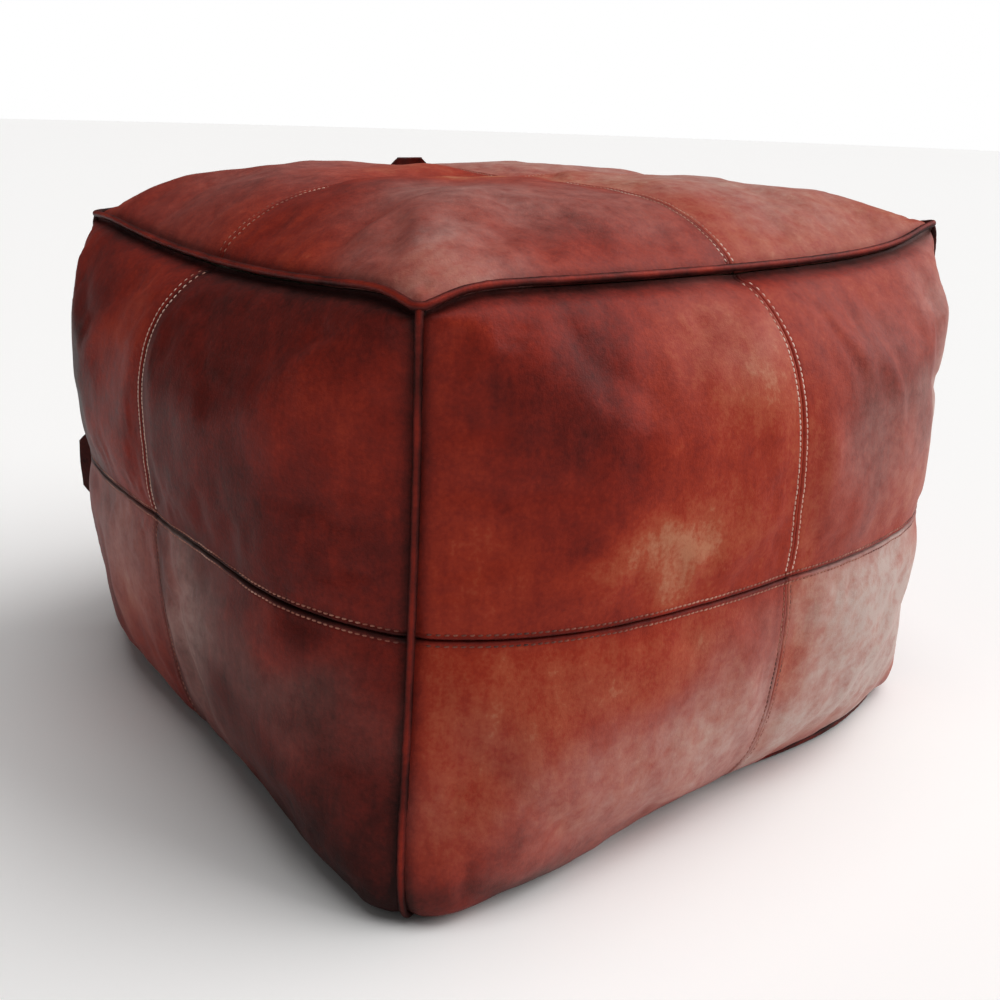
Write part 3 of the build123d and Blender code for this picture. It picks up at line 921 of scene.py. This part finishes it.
def addPanel(name, face, acrossSpan, upSpan, slotName):
    # one cut panel from a flat sheet, with its rows packed at the seams
    columns = round(abs(acrossSpan[1] - acrossSpan[0]) / panelLook["cell"])
    rows = round(abs(upSpan[1] - upSpan[0]) / panelLook["cell"])
    piece, s, t = addGrid(name + "_leather", columns, rows)
    across = acrossSpan[0] + (acrossSpan[1] - acrossSpan[0]) * graded(s, panelLook["pack"])
    up = upSpan[0] + (upSpan[1] - upSpan[0]) * graded(t, panelLook["pack"])
    points, _, _, _ = coverPoint(face, across, up)
    setPoints(piece, points)
    dye = dyes[name]
    stray, over = panelLook["wander"]
    a = across + stray * softNoise(points, over, 3)
    b = up + stray * softNoise(points, over, 4)
    tone = dye["tone"] + patchValue(dye["patches"], a, b) + pooledDyeAndShade(face, across, up)
    setAttribute(piece, "dye", tone)
    setAttribute(piece, "paintedSheen", np.clip(patchValue(dye["paintedSheen"], a, b), 0, panelLook["mostPaintedSheen"]))
    applyModifier(piece, "SOLIDIFY", thickness=pouf["leather"], offset=-1.0, use_even_offset=False)
    smoothShade(piece, 60)
    finishPiece(piece, handDyedSheepskin, slotName, "cover", name)


def spans(low, middle, high):
    tuck, gap = panelLook["tuck"], panelLook["gap"]
    return {-1: (low + tuck, middle - gap), 1: (middle + gap, high - tuck)}


acrossSpans = spans(-half, 0, half)
upSpans = spans(baseLine, seam, topLine)
for face in sideFaces:
    for hand, handName in ((-1, "left"), (1, "right")):
        for level, levelName in ((-1, "lower"), (1, "upper")):
            name = f"{face}_panel_{levelName}_{handName}"
            addPanel(name, face, acrossSpans[hand], upSpans[level], "side_leather")
for handX, nameX in ((-1, "left"), (1, "right")):
    for handY, nameY in ((-1, "front"), (1, "back")):
        addPanel(f"top_panel_{nameY}_{nameX}", "top", acrossSpans[handX], acrossSpans[handY], "top_leather")
print("cover panels ready")

# base panels, with the recess that keeps the zip off the floor
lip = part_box("zip_tape_left")
openingX = -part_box("topstitching_base")[0][0] - seamLook["stitchOffset"]
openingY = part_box("topstitching_base")[1][1]
baseLook = {
    "lipHeight": lip[0][2] - pouf["leather"],
    "lipWidth": -lip[0][0],
    "slope": 18 * mm,
    "flat": 190 * mm,
    "still": 174 * mm,  # inside this the zip's part of the base stays where it is
    "crinkle": (0.35 * mm, 40 * mm),  # height and size of the small folds near the rim
    "crinkled": (150 * mm, 50 * mm),  # where they start, and how far on they are full
    "cell": 3.4 * mm,
}


def basePoint(x, y):
    # the outside of the base: flat on the floor, rising to the welt and to the zip's lips
    away = np.maximum(np.abs(x), np.abs(y))
    rim = np.clip((away - baseLook["flat"]) / (half - baseLook["flat"]), 0, 1)
    height = (baseLine - pouf["press"]) * rim**2.2
    recess = baseLook["lipHeight"] * (1 - smoothStep((np.abs(x) - baseLook["lipWidth"]) / baseLook["slope"]))
    height = np.maximum(height, recess * (1 - rim))
    flat = np.column_stack((x, y, np.full(len(x), baseLine)))
    high, size = baseLook["crinkle"]
    start, whole = baseLook["crinkled"]
    crinkle = high * (1 + softNoise(flat, size, 71)) * smoothStep((away - start) / whole)
    share = smoothStep((away - baseLook["still"]) / (half - baseLook["still"]))
    moved = flat + (settle(flat) - flat) * share[:, None]
    return np.column_stack((moved[:, 0], moved[:, 1], height + np.clip(crinkle, 0, None)))


for way, hand in ((-1, "left"), (1, "right")):
    reach = half - panelLook["tuck"]
    columns, count = round(reach / baseLook["cell"]), round(2 * reach / baseLook["cell"])
    piece, s, t = addGrid(f"base_panel_{hand}_leather", columns, count)
    y = -reach + 2 * reach * t
    start = np.where(np.abs(y) < openingY, openingX, panelLook["gap"])
    x = way * (start + (reach - start) * s)
    setPoints(piece, basePoint(x, y))
    if way > 0:
        editAll(piece, bpy.ops.mesh.flip_normals)
    applyModifier(piece, "SOLIDIFY", thickness=pouf["leather"], offset=-1.0)
    smoothShade(piece, 60)
    finishPiece(piece, baseSplitLeather, "base_leather", "cover", f"base_panel_{hand}")
print("base ready")

# welts: a leather sleeve sewn round a cord
weltLook = {
    "radius": 2.25 * mm,
    "sleeve": 0.6 * mm,
    "cordGap": 0.08 * mm,
    # welt tones: painted shade on the sides beside the panels, and a paler crest, partly wear and partly
    # painted highlight
    "shadedSideTone": 0.06,
    "crestTone": {"top_welt": 0.56, "base_welt": 0.36},
    "cornerTone": 0.50,
    "dyeChange": (0.10, 45 * mm),  # unevenness of the dye along a welt: strength and length
    "corner": 6 * mm,  # bend of a ring welt round a corner
    "step": 3.0 * mm,
    # the ends of a corner welt run in under the rings: how far, over what length
    "tuckIn": (2.2 * mm, 2.5 * mm),
    "creaseSize": 5 * mm,
    "creaseDepth": 0.12 * mm,
}


def ringPath(height):
    # a square with rounded corners, then settled as the cover is
    size = half + pouf["weltOutset"]
    straight = size - weltLook["corner"]
    points = []
    for quarter in range(4):
        turn = quarter * pi / 2
        for place in np.linspace(-straight, straight, int(2 * straight / weltLook["step"])):
            x, y = place, -size
            points.append((x * cos(turn) - y * sin(turn), x * sin(turn) + y * cos(turn), height))
        for bend in np.linspace(0, pi / 2, 7)[1:-1]:
            x = straight + weltLook["corner"] * sin(bend)
            y = -straight - weltLook["corner"] * cos(bend)
            points.append((x * cos(turn) - y * sin(turn), x * sin(turn) + y * cos(turn), height))
    return settle(np.array(points))


def cornerPath(wayX, wayY):
    heights = np.arange(baseLine + 0.5 * mm, topLine + 1.0 * mm, weltLook["step"] / 2)
    inward, over = weltLook["tuckIn"]
    atEnds = np.exp((heights - topLine) / over) + np.exp((baseLine - heights) / over)
    place = half - 0.2 * mm - inward * atEnds
    return settle(np.column_stack((wayX * place, wayY * place, heights)))


def addTube(name, points, radius, closed, wall=None, crestTone=0.5):
    piece = sweepTube(name, points, radius, 4, closed, not closed and wall is None)
    editAll(piece, bpy.ops.mesh.remove_doubles, threshold=1e-6)
    editAll(piece, bpy.ops.mesh.normals_make_consistent, inside=False)
    spots = getPoints(piece)
    normals = np.empty(len(spots) * 3)
    piece.data.vertices.foreach_get("normal", normals)
    normals = normals.reshape(-1, 3)
    pinch = weltLook["creaseDepth"] * softNoise(spots, weltLook["creaseSize"], 31)
    setPoints(piece, spots + normals * pinch[:, None])
    # paler on the crest, nearly black on the sides: the crest is worn paler and also carries a painted
    # highlight, and the sides carry painted shade, for the light and shade of the round section
    outward = np.sign(spots) * np.clip(np.abs(spots / half) - 0.93, 0, None) * (1, 1, 0)
    outward[:, 2] = 0.05 * smoothStep((spots[:, 2] - topLine + 20 * mm) / (10 * mm))
    outward /= np.linalg.norm(outward, axis=1)[:, None] + 1e-9
    crest = np.clip((normals * outward).sum(axis=1), 0, 1)
    change, length = weltLook["dyeChange"]
    shadedSideTone = weltLook["shadedSideTone"]
    tone = shadedSideTone + (crestTone - shadedSideTone) * crest**4 + change * softNoise(spots, length, 33)
    setAttribute(piece, "dye", tone)
    setAttribute(piece, "paintedSheen", np.zeros(len(spots)))
    if wall:
        applyModifier(piece, "SOLIDIFY", thickness=wall, offset=-1.0)
    smoothShade(piece, 60)
    return piece


# each welt: its path, whether it is a ring, and the node of its cord
welts = {
    "top_welt": (ringPath(topLine + pouf["weltOutset"]), True, "top_welt_cord"),
    "base_welt": (ringPath(baseLine - pouf["weltOutset"]), True, "base_welt_cord"),
}
for (wayX, wayY), corner in zip(corners, ("front_left", "front_right", "back_right", "back_left")):
    welts[f"corner_welt_{corner}"] = (cornerPath(wayX, wayY), False, f"corner_welt_cord_{corner}")
for node, (path, closed, cordNode) in welts.items():
    crestTone = weltLook["crestTone"].get(node, weltLook["cornerTone"])
    sleeve = addTube(node + "_sleeve", path, weltLook["radius"], closed, weltLook["sleeve"], crestTone)
    finishPiece(sleeve, handDyedSheepskin, "welt_leather", "cover", node)
    coreRadius = weltLook["radius"] - weltLook["sleeve"] - weltLook["cordGap"]
    core = addTube(cordNode + "_cotton", path, coreRadius, closed)
    finishPiece(core, cottonCord, "welt_cord", "cover", cordNode)
print("welts ready")

# topstitching: separate lockstitches in twin rows
stitchLook = {
    "pitch": 3.2 * mm,
    "length": 3.0 * mm,
    "width": 1.25 * mm,
    "height": 0.90 * mm,
    "dive": 0.25 * mm,  # how far its ends go into their holes
    "rise": 0.15 * mm,
    "slant": radians(7),
    "endClear": 4.5 * mm,
    "stretch": (0.9, 1.06),  # shortest and longest stitch, as shares of the length
    "wear": (0.22, 60 * mm),  # how unevenly the rows are worn, over what length
    # each kind of row, by how pale its thread is: 0 is stained by the dye, 1 is worn bare
    "pale": {"upright": 0.98, "level": 0.38, "lower": 0.24, "top": 0.60},
}


def stitchShape():
    # one stitch: a short plump thread whose ends dive into their holes
    bpy.ops.mesh.primitive_uv_sphere_add(
        segments=8, ring_count=6, radius=0.5, location=(0, 0, 0), rotation=(0, pi / 2, 0))
    seed = bpy.context.object
    bpy.ops.object.transform_apply(location=True, rotation=True, scale=True)
    points = getPoints(seed)
    points[:, 0] = 0.5 * np.sign(points[:, 0]) * np.abs(2 * points[:, 0]) ** 0.8
    points *= (stitchLook["length"], stitchLook["width"], stitchLook["height"])
    points[:, 2] -= stitchLook["dive"] * (np.abs(points[:, 0]) / (stitchLook["length"] / 2)) ** 3
    faces = [tuple(polygon.vertices) for polygon in seed.data.polygons]
    bpy.data.objects.remove(seed)
    return points, faces


oneStitch, stitchFaces = stitchShape()


def rowFrames(face, start, end):
    # a place and directions for each stitch between two places on a face
    start, end = np.array(start), np.array(end)
    count = int(np.hypot(*(end - start)) / stitchLook["pitch"])
    spots = start + (end - start) * ((np.arange(count) + 0.5) / count)[:, None]
    place, normal, alongA, alongB = coverPoint(face, spots[:, 0], spots[:, 1])
    along = alongA if abs(end[0] - start[0]) > abs(end[1] - start[1]) else alongB
    return place, normal, along


def addStitches(node, rows):
    # rows: a list of (places, normals, directions, kind of row)
    place, normal, along = (np.concatenate([row[n] for row in rows]) for n in range(3))
    pale = np.concatenate([np.full(len(row[0]), stitchLook["pale"][row[3]]) for row in rows])
    aside = np.cross(normal, along)
    tilt = stitchLook["slant"]
    forward = along * cos(tilt) + aside * sin(tilt)
    aside = np.cross(normal, forward)
    rng = np.random.RandomState(len(place))
    stretch = rng.uniform(*stitchLook["stretch"], len(place))
    points = (
        (place + normal * stitchLook["rise"])[:, None, :]
        + oneStitch[None, :, 0:1] * forward[:, None, :] * stretch[:, None, None]
        + oneStitch[None, :, 1:2] * aside[:, None, :]
        + oneStitch[None, :, 2:3] * normal[:, None, :]
    )
    count = len(oneStitch)
    faces = [tuple(i + n * count for i in face) for n in range(len(place)) for face in stitchFaces]
    mesh = bpy.data.meshes.new(node + "_thread")
    mesh.from_pydata(points.reshape(-1, 3).tolist(), [], faces)
    piece = linkPiece(node + "_thread", mesh)
    smoothShade(piece, 80)
    strength, length = stitchLook["wear"]
    wear = strength * softNoise(place, length, 91) + rng.uniform(-0.1, 0.1, len(place))
    setAttribute(piece, "pale", np.repeat(np.clip(pale + wear, 0, 1), count))
    finishPiece(piece, waxedThread, "thread", "cover", node)


offset = seamLook["stitchOffset"]
clear = stitchLook["endClear"]
for face in sideFaces:
    rows = []
    for way in (-1, 1):
        across, up = way * offset, seam + way * offset
        rows.append((*rowFrames(face, (-half + clear, up), (half - clear, up)), "level"))
        rows.append((*rowFrames(face, (across, seam + clear), (across, topLine - clear)), "upright"))
        rows.append((*rowFrames(face, (across, baseLine + clear), (across, seam - clear)), "lower"))
    addStitches(f"topstitching_{face}", rows)
rows = []
for way in (-1, 1):
    for hand in (-1, 1):
        start, end, aside = hand * clear, hand * (half - clear), way * offset
        rows.append((*rowFrames("top", (start, aside), (end, aside)), "top"))
        rows.append((*rowFrames("top", (aside, start), (aside, end)), "top"))
addStitches("topstitching_top", rows)
rows = []
for way in (-1, 1):
    count = int(2 * openingY / stitchLook["pitch"])
    y = np.linspace(-openingY, openingY, count)
    places = basePoint(np.full(count, way * (openingX + offset)), y)
    down, along = np.tile((0.0, 0.0, -1.0), (count, 1)), np.tile((0.0, 1.0, 0.0), (count, 1))
    rows.append((places, down, along, "lower"))
addStitches("topstitching_base", rows)
print("topstitching ready")

# liner bag and filling, inside the cover
innerLook = {
    "inset": 9 * mm,
    "gap": 7 * mm,
    "floorGap": pouf["leather"] + 1.4 * mm,
    "recess": (20 * mm, 24 * mm),  # half width over the zip, and its slope
    "cloth": 0.8 * mm,
    "fillGap": 1.2 * mm,
    "cuts": 31,
}


def addInner(name, deeper=0.0):
    # a closed stuffed block from a subdivided cube, kept clear of the base and the zip
    inset, gap = innerLook["inset"] + deeper, innerLook["gap"] + deeper
    floorGap = innerLook["floorGap"] + deeper
    bpy.ops.mesh.primitive_cube_add(size=2, location=(0, 0, 0))
    piece = bpy.context.object
    piece.name = name
    editAll(piece, bpy.ops.mesh.subdivide, number_cuts=innerLook["cuts"])
    cube = getPoints(piece)
    form = {
        "half": half - inset,
        "low": baseLine + inset,
        "high": topLine - inset,
        "sideBulge": coverForm["sideBulge"] + inset - gap,
        "crown": coverForm["crown"] + inset - gap,
        "sag": baseLine + inset - floorGap,
    }
    size = form["half"]
    middle, tall = (form["low"] + form["high"]) / 2, (form["high"] - form["low"]) / 2
    up = middle + cube[:, 2] * tall
    points = np.zeros_like(cube)
    areas = {
        "front": (-cube[:, 1], cube[:, 0] * size, up),
        "back": (cube[:, 1], -cube[:, 0] * size, up),
        "right": (cube[:, 0], cube[:, 1] * size, up),
        "left": (-cube[:, 0], -cube[:, 1] * size, up),
        "top": (cube[:, 2], cube[:, 0] * size, cube[:, 1] * size),
        "base": (-cube[:, 2], -cube[:, 0] * size, cube[:, 1] * size),
    }
    for face, (outward, across, along) in areas.items():
        chosen = outward > 1 - 1e-5
        points[chosen] = formPoint(form, face, across[chosen], along[chosen])
    wide, slope = innerLook["recess"]
    overZip = 1 - smoothStep((np.abs(points[:, 0]) - wide) / slope)
    recess = (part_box("zip_slider")[1][2] + floorGap) * overZip
    points[:, 2] = np.maximum(points[:, 2], np.maximum(floorGap, recess))
    setPoints(piece, points)
    return piece


liner = addInner("liner_bag_calico")
applyModifier(liner, "SOLIDIFY", thickness=innerLook["cloth"], offset=-1.0)
filling = addInner("filling_fibre", innerLook["cloth"] + innerLook["fillGap"])
for piece in (liner, filling):
    smoothShade(piece, 60)
finishPiece(liner, calico, "liner_cloth", "cover", "liner_bag")
finishPiece(filling, fibreFill, "filling", "cover", "filling")
print("inside ready")

# leather tabs, each a strip folded double
tabs = {
    "corner_tab": {"round": 0.35, "longer": 22 * mm, "further": 15 * mm},
    "back_tab": {"round": 0.55, "longer": 8 * mm, "further": 1 * mm},
}
tabLeather = {
    "thick": 1.7 * mm,
    "slack": 0.5 * mm,  # between its two layers
    "fold": 0.18,  # share of the strip in the bend
    "roundFrom": 0.35,  # share of the height at which the free corners start to be cut round
    "lean": 0.10,
    "curl": 0.8 * mm,
}


def addTab(node, look):
    # a strip folded double: up one side, round the fold and back down
    low, high = (np.array(v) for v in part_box(node))
    centre = (low + high) / 2
    if node == "corner_tab":
        width = high[2] - low[2] + look["longer"]
        centre[2] -= look["longer"] / 2
        reach = sqrt(2) * (high[1] - low[1]) - 2 * tabLeather["thick"] + look["further"]
        out = np.array((-sqrt(0.5), sqrt(0.5), 0.0))
        along = np.array((0.0, 0.0, -1.0))
        start = settle(np.array([(-half, half, centre[2])]))[0]
    else:
        width = high[0] - low[0] + look["longer"]
        reach = high[2] - low[2] + weltLook["radius"] + look["further"]
        out = np.array((0.0, 0.10, 1.0))
        along = np.array((1.0, 0.0, 0.0))
        start = settle(np.array([(centre[0], half, topLine)]))[0]
    out /= np.linalg.norm(out)
    aside = np.cross(along, out)
    piece, s, t = addGrid(node + "_leather", 28, 40)
    spread = (tabLeather["thick"] + tabLeather["slack"]) / 2
    run = (t - 0.5) * 2
    raised = 1 - np.abs(run) ** 3.2
    height = reach * raised
    thick = spread * np.sign(run) * np.minimum(1, np.abs(run) / tabLeather["fold"]) ** 0.6
    # the free corners are cut round, and the strip leans and curls a little
    begin = tabLeather["roundFrom"]
    rounding = 1 - look["round"] * (np.clip(raised - begin, 0, 1) / (1 - begin)) ** 2.5
    lengthwise = (s - 0.5) * width * rounding
    lean = tabLeather["lean"] * reach * raised**2 + tabLeather["curl"] * np.sin(6 * s + 2 * raised)
    points = start + np.outer(height, out) + np.outer(lengthwise, along) + np.outer(thick + lean, aside)
    setPoints(piece, points)
    applyModifier(piece, "SOLIDIFY", thickness=tabLeather["thick"], offset=0.0)
    editAll(piece, bpy.ops.mesh.normals_make_consistent, inside=False)
    smoothShade(piece, 50)
    finishPiece(piece, tabSheepskin, "tab_leather", "cover", node)


for node, look in tabs.items():
    addTab(node, look)
# frayed ends of the seam thread hang below the corner tab, too short to be pieces of their own
looseEnds = [(15 * mm, 0.15, 1), (21 * mm, -0.10, 2), (11 * mm, 0.35, 3)]  # length, lean, seed
looseLook = {"radius": 0.55 * mm, "sway": 1.2 * mm, "bend": 0.8 * mm, "pale": 0.75}
tabBox = np.array([tuple(corner) for corner in bpy.data.objects["corner_tab_leather"].bound_box])
tabFoot = np.array((tabBox[:, 0].mean() - 2 * mm, tabBox[:, 1].mean(), tabBox[:, 2].min() + 3 * mm))
rowPiece = bpy.data.objects["topstitching_left_thread"]
for length, lean, seed in looseEnds:
    t = np.linspace(0, 1, 14)
    sway = softNoise(np.column_stack((t, t, t)), 0.8, seed)
    bend, sideways = looseLook["sway"] * sway * t, looseLook["bend"] * sway * t
    path = tabFoot + np.column_stack((bend - lean * length * t, sideways, -length * t))
    strand = addTube("looseEnd", path, looseLook["radius"], False)
    setAttribute(strand, "pale", np.full(len(strand.data.vertices), looseLook["pale"]))
    activate(rowPiece)
    strand.select_set(True)
    bpy.ops.object.join()
rowPiece.data.materials.clear()
rowPiece.data.materials.append(waxedThread)
print("tabs ready")

# zip: the real coil replaces the plain one, the rest keeps its CAD shape
for node in ("zip_tape_left", "zip_tape_right"):
    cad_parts[node].material_slots[0].material = zipTapeWeave
for node in ("zip_slider", "zip_pull", "zip_top_stops", "zip_bottom_stop"):
    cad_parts[node].material_slots[0].material = antiqueBrass
coilLook = {"pitch": 1.5 * mm, "wire": 0.32 * mm}
for way, hand in ((-1, "left"), (1, "right")):
    low, high = (np.array(v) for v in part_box(f"zip_coil_{hand}"))
    turns = int((high[1] - low[1]) / coilLook["pitch"])
    angle = np.linspace(0, 2 * pi * turns, turns * 10)
    wire = coilLook["wire"]
    x = (low[0] + high[0]) / 2 + way * ((high[0] - low[0]) / 2 - wire) * np.cos(angle)
    z = (low[2] + high[2]) / 2 + ((high[2] - low[2]) / 2 - wire) * np.sin(angle)
    y = low[1] + wire + (high[1] - low[1] - 2 * wire) * angle / angle[-1]
    piece = sweepTube(f"zip_coil_{hand}_nylon", np.column_stack((x, y, z)), wire, 1)
    smoothShade(piece, 60)
    finishPiece(piece, zipNylon, "zip_coil", "cover", f"zip_coil_{hand}")
print("zip ready")

# a pale paper floor, soft light and the camera
bpy.ops.mesh.primitive_circle_add(vertices=96, radius=14, fill_type="NGON", location=(0, 0, -0.4 * mm))
floor = bpy.context.object
floor.name = "floor"
paper, tree, shader = newMaterial("matPaper")
shader.inputs["Base Color"].default_value = hexColour("#fbfaf9")
shader.inputs["Roughness"].default_value = 0.9
floor.data.materials.append(paper)

world = bpy.data.worlds.new("studio")
bpy.context.scene.world = world
world.use_nodes = True
tree = world.node_tree
# the backdrop is white to the camera, and the room round the pouf is dimmer
seen = addNode(tree, "LightPath").outputs["Is Camera Ray"]
strength = addNode(tree, "MapRange", {"To Min": 0.13, "To Max": 1.0}, {"Value": seen})
tree.links.new(strength.outputs["Result"], tree.nodes["Background"].inputs["Strength"])
tree.nodes["Background"].inputs["Color"].default_value = hexColour("#ffffff")

suns = {
    "keyFromRight": {"aim": (-0.75, 0.35, -0.62), "power": 2.48, "angle": 60},
    "softFromAbove": {"aim": (-0.10, 0.06, -0.99), "power": 1.22, "angle": 50},
}
for name, sun in suns.items():
    bpy.ops.object.light_add(type="SUN", location=(0, 0, 2))
    lamp = bpy.context.object
    lamp.name = name
    lamp.data.energy = sun["power"]
    lamp.data.angle = radians(sun["angle"])
    lamp.rotation_euler = Vector(sun["aim"]).to_track_quat("-Z", "Y").to_euler()

cameraLook = {
    "at": (-0.529, -0.681, 0.4205),
    "yaw": radians(51.9),
    "pitch": radians(19.05),
    "roll": radians(1.88),
    "lens": 42.2,
}
bpy.ops.object.camera_add(location=cameraLook["at"])
camera = bpy.context.object
aim = Vector((
    cos(cameraLook["yaw"]) * cos(cameraLook["pitch"]),
    sin(cameraLook["yaw"]) * cos(cameraLook["pitch"]),
    -sin(cameraLook["pitch"]),
))
turn = aim.to_track_quat("-Z", "Y") @ Quaternion((0, 0, 1), cameraLook["roll"])
camera.rotation_euler = turn.to_euler()
camera.data.lens = cameraLook["lens"]
camera.data.sensor_width = 36
camera.data.clip_start = 0.01
bpy.context.scene.camera = camera
bpy.context.scene.view_settings.view_transform = "Standard"
